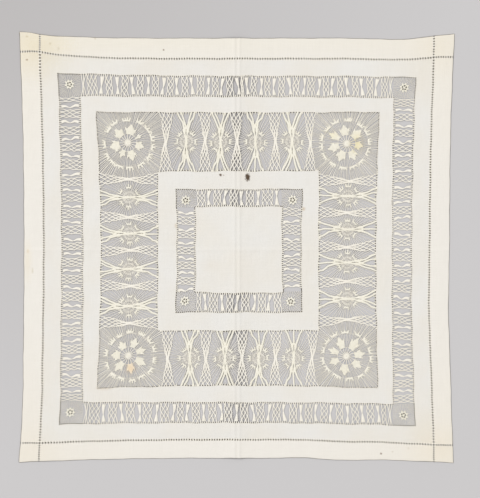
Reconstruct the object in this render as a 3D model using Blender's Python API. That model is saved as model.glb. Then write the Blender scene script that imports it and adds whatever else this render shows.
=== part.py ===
# A square of linen in drawn-thread work, lying flat.
# From the edge inwards: a wide hem held by hemstitching, a plain border, a narrow drawn
# band, a plain band, a wide drawn band, a plain band, a second narrow drawn band and a
# plain centre. The wide band has a needle-made wheel in each corner, and its sides
# alternate knotted lattices with woven trunks that carry a rosette. The narrow bands
# alternate knotted lattices with woven bow ties, and have a small flower in each corner.
# Metres, +Z up. The underside is flat at z = 0, and the origin is the middle of the cloth.

import math

import bmesh
import bpy
from mathutils import Vector
from mathutils.geometry import delaunay_2d_cdt

MM = 0.001

# Thicknesses and rises, mm
CLOTH = 1.0
HEM_RISE = 0.6
HEM_STEP = 2.0
WOVEN_RISE = 0.5
PETAL_RISE = 0.7
CREASE_RISE = 0.5
LEVEL_CREASE_RISE = 0.3

# Widths of the ruled layout, mm, from the middle of the cloth outwards
CENTRE = 61.0
INNER_BAND = 27.0
INNER_PLAIN = 25.3
WIDE_BAND = 81.4
OUTER_PLAIN = 23.3
OUTER_BAND = 29.9
BORDER = 24.1
HEM = 27.8

# The same layout as distances from the middle, mm
INNER_IN = CENTRE
INNER_OUT = INNER_IN + INNER_BAND
WIDE_IN = INNER_OUT + INNER_PLAIN
WIDE_OUT = WIDE_IN + WIDE_BAND
WIDE_MIDDLE = WIDE_IN + WIDE_BAND / 2
OUTER_IN = WIDE_OUT + OUTER_PLAIN
OUTER_OUT = OUTER_IN + OUTER_BAND
HEM_LINE = OUTER_OUT + BORDER
EDGE = HEM_LINE + HEM

# Where the ruled lines lie on the cloth, which has pulled out of square, mm.
# Columns: ruled place, place at the line's lower end, at its middle, at its upper end,
# and how late the line bows out towards its ends
UPRIGHT_LINES = (
    (-EDGE, -308.5, -301.0, -307.6, 2.4),
    (-HEM_LINE, -280.5, -273.4, -279.1, 2.0),
    (-OUTER_OUT, -252.4, -248.6, -253.6, 2.0),
    (-OUTER_IN, -218.7, -217.4, -221.7, 2.0),
    (-WIDE_OUT, -198.2, -192.6, -199.7, 2.0),
    (-WIDE_IN, -112.5, -111.3, -112.0, 2.0),
    (-INNER_OUT, -86.9, -84.8, -86.2, 2.0),
    (-INNER_IN, -58.6, -57.9, -58.1, 2.0),
    (INNER_IN, 65.6, 64.2, 64.4, 2.0),
    (INNER_OUT, 93.0, 92.0, 94.3, 2.0),
    (WIDE_IN, 117.0, 116.3, 117.2, 2.0),
    (WIDE_OUT, 200.7, 198.0, 202.9, 2.0),
    (OUTER_IN, 222.1, 220.5, 223.1, 2.0),
    (OUTER_OUT, 253.6, 249.0, 254.7, 2.0),
    (HEM_LINE, 279.8, 273.9, 279.8, 2.0),
    (EDGE, 307.6, 301.8, 308.8, 2.6),
)

# The level lines, with the same columns: lower end means left end, upper means right
LEVEL_LINES = (
    (-EDGE, -304.5, -298.6, -305.3, 2.5),
    (-HEM_LINE, -277.5, -272.7, -280.3, 2.5),
    (-OUTER_OUT, -251.4, -249.0, -253.8, 2.4),
    (-OUTER_IN, -219.3, -219.5, -222.2, 2.0),
    (-WIDE_OUT, -200.2, -196.1, -200.2, 2.0),
    (-WIDE_IN, -117.8, -117.9, -117.3, 2.0),
    (-INNER_OUT, -92.4, -92.4, -92.4, 2.0),
    (-INNER_IN, -63.2, -64.7, -63.6, 2.0),
    (INNER_IN, 57.6, 57.7, 57.6, 2.0),
    (INNER_OUT, 82.8, 82.4, 83.3, 2.0),
    (WIDE_IN, 107.4, 108.0, 109.0, 2.0),
    (WIDE_OUT, 192.1, 191.4, 192.1, 2.0),
    (OUTER_IN, 214.8, 213.4, 211.9, 2.0),
    (OUTER_OUT, 247.4, 243.1, 242.4, 2.0),
    (HEM_LINE, 277.8, 267.5, 270.1, 5.0),
    (EDGE, 305.3, 296.2, 302.7, 5.0),
)

# Local pulls in the edge, mm. Columns: ruled place u, v, reach, shift in x, shift in y
PULLS = (
    (-286.0, 290.0, 12.0, 0.0, 1.6),
    (-258.0, 285.0, 16.0, 0.0, -1.3),
    (95.0, -298.0, 25.0, 0.0, 1.6),
    (140.0, -298.0, 40.0, 0.0, -1.9),
    (225.0, 298.0, 45.0, 0.0, -3.2),
    (-285.0, -225.0, 60.0, 1.7, 0.0),
    (296.0, -85.0, 60.0, -1.8, 0.0),
)

# Woven bow ties in the narrow bands, mm. Columns: side, inner line, outer line,
# first bow tie, step to the next, count
BOW_TIE_RUNS = (
    ("top", OUTER_IN, OUTER_OUT, -186.9, 20.23, 7),
    ("top", OUTER_IN, OUTER_OUT, -43.5, 20.5, 3),
    ("top", OUTER_IN, OUTER_OUT, 11.8, 19.5, 5),
    ("top", OUTER_IN, OUTER_OUT, 112.6, 19.52, 5),
    ("bottom", OUTER_IN, OUTER_OUT, -184.5, 23.28, 5),
    ("bottom", OUTER_IN, OUTER_OUT, -71.2, 22.53, 8),
    ("bottom", OUTER_IN, OUTER_OUT, 109.9, 21.24, 5),
    ("left", OUTER_IN, OUTER_OUT, -198.8, 24.05, 9),
    ("left", OUTER_IN, OUTER_OUT, 15.2, 23.67, 5),
    ("left", OUTER_IN, OUTER_OUT, 135.8, 22.71, 4),
    ("right", OUTER_IN, OUTER_OUT, -198.4, 22.05, 6),
    ("right", OUTER_IN, OUTER_OUT, -67.2, 22.42, 7),
    ("right", OUTER_IN, OUTER_OUT, 91.2, 21.19, 6),
    ("top", INNER_IN, INNER_OUT, -41.0, 22.5, 3),
    ("top", INNER_IN, INNER_OUT, 26.6, 27.2, 2),
    ("bottom", INNER_IN, INNER_OUT, -47.2, 24.4, 2),
    ("bottom", INNER_IN, INNER_OUT, -2.2, 22.5, 3),
    ("left", INNER_IN, INNER_OUT, -56.2, 21.94, 4),
    ("left", INNER_IN, INNER_OUT, 29.4, 23.6, 2),
    ("right", INNER_IN, INNER_OUT, -52.2, 22.25, 3),
    ("right", INNER_IN, INNER_OUT, 15.6, 25.9, 2),
)

# Wide band, mm. Columns: side, places along it of five lattices and four trunks in turn
TRUNK_RUNS = (
    ("top", (-101.4, -73.6, -47.7, -25.8, -2.8, 23.4, 50.6, 74.0, 99.0)),
    ("bottom", (-98.1, -68.3, -46.8, -19.4, 3.4, 27.5, 51.1, 76.4, 102.5)),
    ("left", (-102.2, -79.4, -52.4, -27.8, -2.3, 22.1, 46.1, 74.9, 102.7)),
    ("right", (-99.2, -70.0, -45.6, -18.9, 4.4, 28.7, 51.9, 77.1, 98.8)),
)
TRUNK_STEP = 25.9

# Wheels in the wide band's corners. Columns: u, v in mm, angle of the first petal
WHEELS = (
    (-154.1, 152.7, 134.0),
    (151.0, 150.8, 96.4),
    (-152.7, -149.4, 124.7),
    (151.7, -150.4, 110.7),
)
PETALS = 7

# Half widths in the bands, mm
BOW_TIE_WAIST = 1.3
BOW_TIE_END = 3.1
BOW_TIE_CREST = 6.2
LATTICE_WAIST = 3.4
LATTICE_END = 5.0
NARROW_EDGE = 3.6
BAND_END = 1.2
BOW_TIE_LEAN = 0.9
LEAST_GAP = 4.0

# A gap between trunk and lattice that are TRUNK_STEP apart, mm. Columns: distance from
# the trunk's middle towards the lattice, height above the middle of the band
TRUNK_GAP_HALF = (
    (15.4, 5.4),
    (10.6, 12.4),
    (5.4, 17.0),
    (6.6, 23.0),
    (13.0, 37.0),
    (16.4, 37.0),
    (21.0, 20.0),
    (23.4, 5.0),
)
ROSETTE_GAP_HALF = (
    (2.2, 0.0),
    (2.8, 6.6),
    (6.6, 5.2),
    (8.3, 0.0),
)
TRUNK_CRESTS = (-27.0, -18.0, 0.0, 18.0, 27.0)

# A gap between two petals. Columns: distance from the wheel's middle in mm, and angle
# to each side of the gap's own middle in degrees
PETAL_GAP_HALF = (
    (18.0, 9.5),
    (24.0, 19.0),
    (28.6, 20.0),
)
PETAL_GAP_NEAR = 13.8
PETAL_GAP_FAR = 29.8
PETAL_MIDDLE = 18.0
HUB = 4.5
HUB_SIDES = 6
FLOWER = 6.4
FLOWER_LOBE = 3.6
FLOWER_SIDES = 6

# Folds from storage, mm: the upright one has two crests, the level one has one
UPRIGHT_CRESTS = (-3.2, 3.9)
LEVEL_CRESTS = (-3.7,)
CREASE_FOOT = 3.4
CREASE_FADE = 4.0
CREASE_MARGIN = 1.2
PLAIN_STRIPS = (
    (-HEM_LINE, -OUTER_OUT),
    (-OUTER_IN, -WIDE_OUT),
    (-WIDE_IN, -INNER_OUT),
    (-INNER_IN, INNER_IN),
    (INNER_OUT, WIDE_IN),
    (WIDE_OUT, OUTER_IN),
    (OUTER_OUT, HEM_LINE),
)
POINTS_PER_SIDE = 12
JOIN = 1e-4


def line_place(line, along):
    ruled, low, middle, high, lateness = line
    end = high if along > 0 else low
    reach = min(abs(along / ruled), 1.0)
    return middle + (end - middle) * reach ** lateness


def across_place(lines, across, along):
    for inner, outer in zip(lines, lines[1:]):
        if across <= outer[0]:
            break
    share = (across - inner[0]) / (outer[0] - inner[0])
    return line_place(inner, along) * (1 - share) + line_place(outer, along) * share


def place(u, v):
    """Where a point of the ruled layout lies on the real, pulled cloth, in mm."""
    x = across_place(UPRIGHT_LINES, u, v)
    y = across_place(LEVEL_LINES, v, u)
    for pull_u, pull_v, reach, shift_x, shift_y in PULLS:
        weight = math.exp(-((u - pull_u) ** 2 + (v - pull_v) ** 2) / reach ** 2)
        x += shift_x * weight
        y += shift_y * weight
    return x, y


def on_side(side, along, outward):
    """A point of a side's band, along the side and outward from the middle of the cloth."""
    return {
        "top": (along, outward),
        "bottom": (along, -outward),
        "left": (-outward, along),
        "right": (outward, along),
    }[side]


def plain_depth(along):
    depths = [min(along - low, high - along) for low, high in PLAIN_STRIPS]
    return max(0.0, max(depths))


def crease_rise(offset, along, crests, rise):
    tent = max(1 - abs(offset - crest) / CREASE_FOOT for crest in crests)
    fade = min(1.0, (plain_depth(along) - CREASE_MARGIN) / CREASE_FADE)
    return rise * max(0.0, tent) * max(0.0, fade)


def crease_offsets(u, v):
    """Distance from the upright and level folds, which are straight on the real cloth."""
    middle_x = place(0.0, v)[0]
    middle_y = place(u, 0.0)[1]
    return u + middle_x, v + middle_y


def top_height(u, v):
    hem_share = (max(abs(u), abs(v)) - HEM_LINE) / HEM_STEP
    upright, level = crease_offsets(u, v)
    rise = HEM_RISE * min(max(hem_share, 0.0), 1.0)
    rise += crease_rise(upright, v, UPRIGHT_CRESTS, CREASE_RISE)
    rise += crease_rise(level, u, LEVEL_CRESTS, LEVEL_CREASE_RISE)
    return CLOTH + rise


def signed_area(corners):
    nexts = list(corners[1:]) + [corners[0]]
    return sum(a[0] * b[1] - b[0] * a[1] for a, b in zip(corners, nexts)) / 2


class Pattern:
    """Points, closed loops and guide lines of the cloth, in the ruled layout."""

    def __init__(self):
        self.points = []
        self.raised = {}
        self.loops = []
        self.guides = []

    def point(self, u, v, rise=0.0):
        self.points.append((u, v))
        if rise:
            self.raised[len(self.points) - 1] = rise
        return len(self.points) - 1

    def loop(self, corners):
        """A closed outline, always kept anticlockwise."""
        ring = list(corners) if signed_area(corners) > 0 else list(reversed(corners))
        self.loops.append([self.point(u, v) for u, v in ring])

    def guide(self, places, closed=False):
        marks = [self.point(u, v) for u, v in places]
        self.guides += zip(marks, marks[1:])
        if closed:
            self.guides.append((marks[-1], marks[0]))


def square_points(half):
    """Points round a square ring of the layout, anticlockwise from its lower left corner."""
    steps = [half * (2 * i / POINTS_PER_SIDE - 1) for i in range(POINTS_PER_SIDE)]
    ring = [(s, -half) for s in steps]
    ring += [(half, s) for s in steps]
    ring += [(-s, half) for s in steps]
    ring += [(-half, -s) for s in steps]
    return ring


def bow_tie_places(run):
    first, step, count = run[3:]
    return [first + i * step for i in range(count)]


def add_bow_ties(pattern, run):
    side, inner, outer, _, step, _ = run
    middle = (inner + outer) / 2
    low = inner + NARROW_EDGE
    high = outer - NARROW_EDGE
    same_band = [other for other in BOW_TIE_RUNS if other[:3] == run[:3]]
    neighbours = [spot for other in same_band for spot in bow_tie_places(other)]
    for i, along in enumerate(bow_tie_places(run)):
        lean = BOW_TIE_LEAN * (1 if i % 2 else -1)
        for end in (inner + BOW_TIE_CREST, outer - BOW_TIE_CREST):
            pattern.point(*on_side(side, along, end), rise=WOVEN_RISE)
        for way in (-1, 1):
            halfway = [way * (n - along) / 2 for n in neighbours if way * (n - along) > 0]
            reach = min(halfway + [step / 2, inner - BAND_END - way * along])
            far = reach - LATTICE_WAIST
            if far - BOW_TIE_WAIST < LEAST_GAP:
                continue
            corners = (
                (lean + way * BOW_TIE_WAIST, middle),
                (way * BOW_TIE_END, low),
                (way * (reach - LATTICE_END), low),
                (way * far, middle),
                (way * (reach - LATTICE_END), high),
                (way * BOW_TIE_END, high),
            )
            pattern.loop([on_side(side, along + a, d) for a, d in corners])


def add_trunks(pattern, side, places):
    lower_gap = [(a, -h) for a, h in reversed(TRUNK_GAP_HALF)]
    gap = list(TRUNK_GAP_HALF) + lower_gap
    ring = list(ROSETTE_GAP_HALF) + [(a, -h) for a, h in ROSETTE_GAP_HALF[-2:0:-1]]
    for i in range(1, len(places), 2):
        trunk = places[i]
        for other in (places[i - 1], places[i + 1]):
            width = (other - trunk) / TRUNK_STEP
            for corners in (gap, ring):
                outline = [(trunk + width * a, WIDE_MIDDLE + h) for a, h in corners]
                pattern.loop([on_side(side, along, outward) for along, outward in outline])
        for height in TRUNK_CRESTS:
            pattern.point(*on_side(side, trunk, WIDE_MIDDLE + height), rise=WOVEN_RISE)


def polar(middle, distance, angle):
    turn = math.radians(angle)
    return middle[0] + distance * math.cos(turn), middle[1] + distance * math.sin(turn)


def add_wheel(pattern, u, v, first_angle):
    middle = (u, v)
    step = 360 / PETALS
    for i in range(PETALS):
        petal = first_angle + i * step
        pattern.point(*polar(middle, PETAL_MIDDLE, petal), rise=PETAL_RISE)
        gap = petal + step / 2
        near_side = [polar(middle, r, gap - a) for r, a in PETAL_GAP_HALF]
        far_side = [polar(middle, r, gap + a) for r, a in reversed(PETAL_GAP_HALF)]
        ends = polar(middle, PETAL_GAP_NEAR, gap), polar(middle, PETAL_GAP_FAR, gap)
        pattern.loop([ends[0]] + near_side + [ends[1]] + far_side)
    pattern.point(u, v, rise=PETAL_RISE)
    for i in range(HUB_SIDES):
        pattern.point(*polar(middle, HUB, 360 * i / HUB_SIDES))


def add_flower(pattern, u, v):
    middle = (u, v)
    for i in range(FLOWER_SIDES):
        turn = 360 * i / FLOWER_SIDES
        pattern.point(*polar(middle, FLOWER_LOBE, turn), rise=PETAL_RISE)
        pattern.point(*polar(middle, FLOWER, turn))


def add_creases(pattern):
    """Guide lines along the folds, so that their crests are edges of the cloth."""
    for low, high in PLAIN_STRIPS:
        ends = (low + CREASE_MARGIN, high - CREASE_MARGIN)
        full = (ends[0] + CREASE_FADE, ends[1] - CREASE_FADE)
        for crests, upright in ((UPRIGHT_CRESTS, True), (LEVEL_CRESTS, False)):
            feet = (crests[0] - CREASE_FOOT, crests[-1] + CREASE_FOOT)
            for offset in crests + feet:
                stops = ends if offset in feet else (ends[0], full[0], full[1], ends[1])
                pattern.guide([crease_point(offset, s, upright) for s in stops])


def crease_point(offset, along, upright):
    if upright:
        return offset - place(0.0, along)[0], along
    return along, offset - place(along, 0.0)[1]


def cloth_pattern():
    pattern = Pattern()
    pattern.loop(square_points(EDGE))
    pattern.guide(square_points(HEM_LINE), closed=True)
    pattern.guide(square_points(HEM_LINE + HEM_STEP), closed=True)
    for run in BOW_TIE_RUNS:
        add_bow_ties(pattern, run)
    for side, places in TRUNK_RUNS:
        add_trunks(pattern, side, places)
    for wheel in WHEELS:
        add_wheel(pattern, *wheel)
    for inner, outer in ((INNER_IN, INNER_OUT), (OUTER_IN, OUTER_OUT)):
        middle = (inner + outer) / 2
        for u in (-middle, middle):
            for v in (-middle, middle):
                add_flower(pattern, u, v)
    add_creases(pattern)
    return pattern


def cloth_triangles(points, loops, guides):
    """Triangles of the cloth's face without its gaps, and points where guides cross."""
    flat = [Vector(p) for p in points]
    found, _, triangles, sources, _, owners = delaunay_2d_cdt(flat, guides, loops, 1, JOIN)
    extra = []
    index = []
    for spot, source in zip(found, sources):
        if source:
            index.append(source[0])
        else:
            index.append(len(points) + len(extra))
            extra.append(tuple(spot))
    kept = [[index[i] for i in t] for t, o in zip(triangles, owners) if list(o) == [0]]
    return kept, extra


def build_cloth():
    pattern = cloth_pattern()
    loops = pattern.loops
    edge_points = [i for loop in loops for i in loop]
    mesh = bpy.data.meshes.new("lace_square")
    bm = bmesh.new()

    upper, crossings = cloth_triangles(pattern.points, loops, pattern.guides)
    top = {}
    for i, (u, v) in enumerate(pattern.points + crossings):
        x, y = place(u, v)
        height = top_height(u, v) + pattern.raised.get(i, 0.0)
        top[i] = bm.verts.new((x * MM, y * MM, height * MM))
    for corners in upper:
        bm.faces.new([top[i] for i in corners])

    rank = {i: n for n, i in enumerate(edge_points)}
    rim = [pattern.points[i] for i in edge_points]
    lower, _ = cloth_triangles(rim, [[rank[i] for i in loop] for loop in loops], [])
    bottom = [bm.verts.new((top[i].co.x, top[i].co.y, 0.0)) for i in edge_points]
    for corners in lower:
        bm.faces.new([bottom[i] for i in reversed(corners)])

    for loop in loops:
        for a, b in zip(loop, loop[1:] + loop[:1]):
            bm.faces.new((bottom[rank[a]], bottom[rank[b]], top[b], top[a]))

    loose = [v for v in bm.verts if not v.link_faces]
    bmesh.ops.delete(bm, geom=loose, context="VERTS")
    centre_on_origin(bm)
    bmesh.ops.recalc_face_normals(bm, faces=bm.faces)
    bm.to_mesh(mesh)
    bm.free()
    cloth = bpy.data.objects.new("lace_square", mesh)
    cloth.data.materials.append(linen())
    bpy.context.collection.objects.link(cloth)
    return cloth


def centre_on_origin(bm):
    xs = [v.co.x for v in bm.verts]
    ys = [v.co.y for v in bm.verts]
    shift = Vector((-(min(xs) + max(xs)) / 2, -(min(ys) + max(ys)) / 2, 0.0))
    bmesh.ops.translate(bm, verts=bm.verts, vec=shift)


def linen():
    material = bpy.data.materials.new("linen")
    material.use_nodes = True
    shader = material.node_tree.nodes["Principled BSDF"]
    shader.inputs["Base Color"].default_value = (0.84, 0.80, 0.73, 1.0)
    shader.inputs["Roughness"].default_value = 0.9
    shader.inputs["Metallic"].default_value = 0.0
    return material


for leftover in list(bpy.data.objects):
    bpy.data.objects.remove(leftover)
build_cloth()
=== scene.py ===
import functools
import math
import random

import bmesh
import bpy
import numpy as np
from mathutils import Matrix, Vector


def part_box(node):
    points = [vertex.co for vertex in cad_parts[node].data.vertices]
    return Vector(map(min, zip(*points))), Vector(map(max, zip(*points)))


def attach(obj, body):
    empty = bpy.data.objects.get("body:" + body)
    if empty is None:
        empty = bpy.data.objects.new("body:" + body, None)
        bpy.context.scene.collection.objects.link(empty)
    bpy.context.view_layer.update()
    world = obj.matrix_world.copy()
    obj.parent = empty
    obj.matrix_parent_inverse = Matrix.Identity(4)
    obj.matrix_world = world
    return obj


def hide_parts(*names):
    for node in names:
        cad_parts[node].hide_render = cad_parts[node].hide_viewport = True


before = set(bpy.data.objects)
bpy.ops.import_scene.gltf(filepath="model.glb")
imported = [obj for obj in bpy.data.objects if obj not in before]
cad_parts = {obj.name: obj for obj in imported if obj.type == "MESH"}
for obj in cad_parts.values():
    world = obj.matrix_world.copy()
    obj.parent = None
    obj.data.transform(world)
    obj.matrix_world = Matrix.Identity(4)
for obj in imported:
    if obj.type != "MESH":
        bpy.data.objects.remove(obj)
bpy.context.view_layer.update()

mm = 0.001
chance = random.Random(17)
vary = chance.uniform

# The ruled layout of the cloth, mm from its middle
innerIn = 61
innerOut = 88
wideIn = 113.3
wideOut = 194.7
wideMiddle = 154
outerIn = 218
outerOut = 247.9
hemLine = 272
edge = 299.8
sides = ("top", "bottom", "left", "right")

ruledLines = (
    -edge, -hemLine, -outerOut, -outerIn, -wideOut, -wideIn, -innerOut, -innerIn,
    innerIn, innerOut, wideIn, wideOut, outerIn, outerOut, hemLine, edge,
)
# Where the ruled lines really lie, because the linen has pulled out of square, mm:
# their places at the lower end, at the middle and at the upper end, then how late they bow
uprightLines = (
    (-308.5, -280.5, -252.4, -218.7, -198.2, -112.5, -86.9, -58.6,
     65.6, 93, 117, 200.7, 222.1, 253.6, 279.8, 307.6),
    (-301, -273.4, -248.6, -217.4, -192.6, -111.3, -84.8, -57.9,
     64.2, 92, 116.3, 198, 220.5, 249, 273.9, 301.8),
    (-307.6, -279.1, -253.6, -221.7, -199.7, -112, -86.2, -58.1,
     64.4, 94.3, 117.2, 202.9, 223.1, 254.7, 279.8, 308.8),
    (2.4, 2, 2, 2, 2, 2, 2, 2,
     2, 2, 2, 2, 2, 2, 2, 2.6),
)
levelLines = (
    (-304.5, -277.5, -251.4, -219.3, -200.2, -117.8, -92.4, -63.2,
     57.6, 82.8, 107.4, 192.1, 214.8, 247.4, 277.8, 305.3),
    (-298.6, -272.7, -249, -219.5, -196.1, -117.9, -92.4, -64.7,
     57.7, 82.4, 108, 191.4, 213.4, 243.1, 267.5, 296.2),
    (-305.3, -280.3, -253.8, -222.2, -200.2, -117.3, -92.4, -63.6,
     57.6, 83.3, 109, 192.1, 211.9, 242.4, 270.1, 302.7),
    (2.5, 2.5, 2.4, 2, 2, 2, 2, 2,
     2, 2, 2, 2, 2, 2, 5, 5),
)
# Local pulls in the edge, mm: ruled place u, v, reach, shift in x, shift in y
edgePulls = (
    (-286, 290, 12, 0, 1.6), (-258, 285, 16, 0, -1.3), (95, -298, 25, 0, 1.6),
    (140, -298, 40, 0, -1.9), (225, 298, 45, 0, -3.2), (-285, -225, 60, 1.7, 0),
    (296, -85, 60, -1.8, 0),
)


def linePlace(ruled, low, middle, high, lateness, along):
    end = np.where(along > 0, high, low)
    reach = np.minimum(np.abs(along / ruled), 1)
    return middle + (end - middle) * reach ** lateness


def acrossPlace(lines, across, along):
    ruled = np.array(ruledLines)
    strip = np.clip(np.searchsorted(ruled, across) - 1, 0, len(ruled) - 2)
    places = np.array([linePlace(*line, along) for line in zip(ruledLines, *lines)])
    near = np.take_along_axis(places, strip[None], 0)[0]
    far = np.take_along_axis(places, strip[None] + 1, 0)[0]
    share = (across - ruled[strip]) / (ruled[strip + 1] - ruled[strip])
    return near * (1 - share) + far * share


# How far threads stray to either side of their ruled line, mm
stray = {
    "slow": 0.5,
    "quick": 0.28,
    "hemShare": 0.4,  # what is left of it in the hem
    "fade": (hemLine - 22, hemLine - 4),
}


def wander(along, across):
    size = np.interp(np.abs(across), stray["fade"], (1, stray["hemShare"]))
    slow = stray["slow"] * np.sin(along / 11 + 1.7 * np.sin(across / 47))
    return size * (slow + stray["quick"] * np.sin(along / 4.3 + across / 29))


def place(u, v):
    x = acrossPlace(uprightLines, u, v) + wander(v, u)
    y = acrossPlace(levelLines, v, u) + wander(u + 90, v)
    for pullU, pullV, reach, shiftX, shiftY in edgePulls:
        weight = np.exp(-((u - pullU) ** 2 + (v - pullV) ** 2) / reach ** 2)
        x = x + shiftX * weight
        y = y + shiftY * weight
    return x, y


def middleShift():
    # the middle of the pulled outline lies on the middle of the CAD solid
    steps = np.linspace(-edge, edge, 13)
    ends = np.full_like(steps, edge)
    u = np.concatenate((steps, steps, -ends, ends))
    v = np.concatenate((-ends, ends, steps, steps))
    x, y = place(u, v)
    low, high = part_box("lace_square")
    shiftX = (low[0] + high[0]) / 2 / mm - (x.min() + x.max()) / 2
    shiftY = (low[1] + high[1]) / 2 / mm - (y.min() + y.max()) / 2
    return shiftX, shiftY


@functools.cache
def stretch(u, v):
    # how much wider and longer the pulled linen is than its ruled layout round a spot
    reach = 15
    x, y = place(np.array([u - reach, u + reach, u, u]), np.array([v, v, v - reach, v + reach]))
    return (x[1] - x[0]) / 2 / reach, (y[3] - y[2]) / 2 / reach


# How the linen lies, mm. Folds from storage run straight over the whole cloth
lie = {
    "shift": middleShift(),
    "rest": 0.16,  # how high it lies on the whole
    "swells": (0.12, 0.08),
    "least": 0.02,
    # x, half width, rise: two crests in a low wide ridge
    "uprightFolds": ((-3.2, 1.9, 0.75), (3.9, 1.9, 0.75), (0.35, 1.5, -0.25), (0.3, 16, 1.5)),
    "levelFolds": ((-3.7, 2.6, 0.35), (1.6, 3, -0.12)),  # y, half width, rise
    # soft troughs and ridges: x, y, direction in degrees, long reach, short reach, rise
    "ripples": (
        (-262, 150, 84, 90, 12, 0.5), (-265, -120, 95, 110, 14, 0.6), (262, 60, 88, 120, 12, 0.5),
        (264, -190, 97, 70, 11, 0.6), (-150, 259, 4, 80, 9, 0.5), (120, 257, -5, 100, 10, 0.5),
        (-60, -262, 3, 120, 10, 0.55), (190, -258, -8, 70, 10, 0.45), (-205, 40, 88, 130, 9, 0.35),
        (208, -80, 92, 110, 9, 0.4), (-30, -205, 2, 120, 8, 0.35), (100, 203, -3, 90, 8, 0.35),
        (30, 30, 40, 60, 22, 0.25), (-35, -25, 120, 50, 20, 0.22), (-280, 285, 42, 34, 12, 0.7),
        (285, 282, -46, 36, 13, 0.6), (-284, -282, -44, 34, 12, 0.6), (284, -284, 44, 34, 12, 0.65),
        (-289, 60, 90, 60, 8, 0.35), (288, -60, 90, 80, 8, 0.35), (60, 284, 0, 70, 8, 0.35),
        (-100, -287, 1, 60, 8, 0.4), (0, 100, 3, 80, 10, 0.2), (0, -104, -2, 70, 10, 0.2),
    ),
}


def lieRise(x, y):
    broad, small = lie["swells"]
    rise = lie["rest"] + broad * np.sin(x / 61 + 0.6) * np.cos(y / 47) + small * np.sin(x / 23 + y / 31)
    for fold, halfWidth, height in lie["uprightFolds"]:
        rise = rise + height * np.exp(-((x - fold) / halfWidth) ** 2)
    for fold, halfWidth, height in lie["levelFolds"]:
        rise = rise + height * np.exp(-((y - fold) / halfWidth) ** 2)
    for rippleX, rippleY, turn, long, short, height in lie["ripples"]:
        a = math.radians(turn)
        lengthwise = (x - rippleX) * math.cos(a) + (y - rippleY) * math.sin(a)
        sideways = (y - rippleY) * math.cos(a) - (x - rippleX) * math.sin(a)
        rise = rise + height * np.exp(-(lengthwise / long) ** 2 - (sideways / short) ** 2)
    return np.maximum(rise, lie["least"])


# How threads are pressed flat, mm
press = {
    "ruled": 0.85,  # the height as made that comes to lie at the middle
    "range": 0.66,
    "middle": 0.62,
    "half": 0.52,  # the farthest from the middle
}


def pullOntoCloth(mesh, flattened=True):
    # a mesh made in the ruled layout in mm goes to its place on the pulled cloth in metres.
    # Threads are pressed flat there, and keep their height as made, from which their colour gets painted
    # shade
    spots = np.empty(len(mesh.vertices) * 3)
    mesh.vertices.foreach_get("co", spots)
    spots = spots.reshape(-1, 3)
    x, y = place(spots[:, 0], spots[:, 1])
    x = x + lie["shift"][0]
    y = y + lie["shift"][1]
    z = spots[:, 2]
    if flattened:
        mesh.attributes.new("threadHeight", "FLOAT", "POINT").data.foreach_set("value", z)
        z = press["middle"] + press["half"] * np.tanh((z - press["ruled"]) / press["range"])
    pulled = np.stack((x * mm, y * mm, (z + lieRise(x, y)) * mm), axis=1)
    mesh.vertices.foreach_set("co", pulled.ravel())
    mesh.update()


def added(name, data):
    thing = bpy.data.objects.new(name, data)
    bpy.context.scene.collection.objects.link(thing)
    return thing


def addPiece(name, mesh, material):
    mesh.materials.append(material)
    mesh.shade_smooth()
    piece = added(name, mesh)
    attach(piece, "root")
    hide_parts("lace_square")
    return piece


def strandPiece(name, strands, material, rounding=0):
    # every strand is a list of (u, v, height, radius) in mm, and becomes a thin closed tube
    curve = bpy.data.curves.new(name + "Line", "CURVE")
    curve.dimensions = "3D"
    curve.bevel_depth = 1
    curve.bevel_resolution = rounding
    curve.use_fill_caps = True
    for strand in strands:
        spline = curve.splines.new("POLY")
        spline.points.add(len(strand) - 1)
        spline.points.foreach_set("co", [n for u, v, h, _ in strand for n in (u, v, h, 1)])
        spline.points.foreach_set("radius", [r for _, _, _, r in strand])
    line = added(name + "Line", curve)
    solved = line.evaluated_get(bpy.context.evaluated_depsgraph_get())
    mesh = bpy.data.meshes.new_from_object(solved)
    mesh.name = name
    bpy.data.objects.remove(line)
    bpy.data.curves.remove(curve)
    pullOntoCloth(mesh)
    print(name, len(strands), "strands,", sum(len(f.vertices) - 2 for f in mesh.polygons), "triangles")
    return addPiece(name, mesh, material)


def onSide(side, along, outward):
    if side in ("top", "bottom"):
        return along, outward if side == "top" else -outward
    return outward if side == "right" else -outward, along


def sideStrand(side, spots):
    return [(*onSide(side, along, outward), height, radius) for along, outward, height, radius in spots]


def around(middle, distance, angle):
    # a spot at a true distance from a middle, given in the ruled layout
    wider, longer = stretch(*middle)
    turn = math.radians(angle)
    return middle[0] + distance * math.cos(turn) / wider, middle[1] + distance * math.sin(turn) / longer


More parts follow.
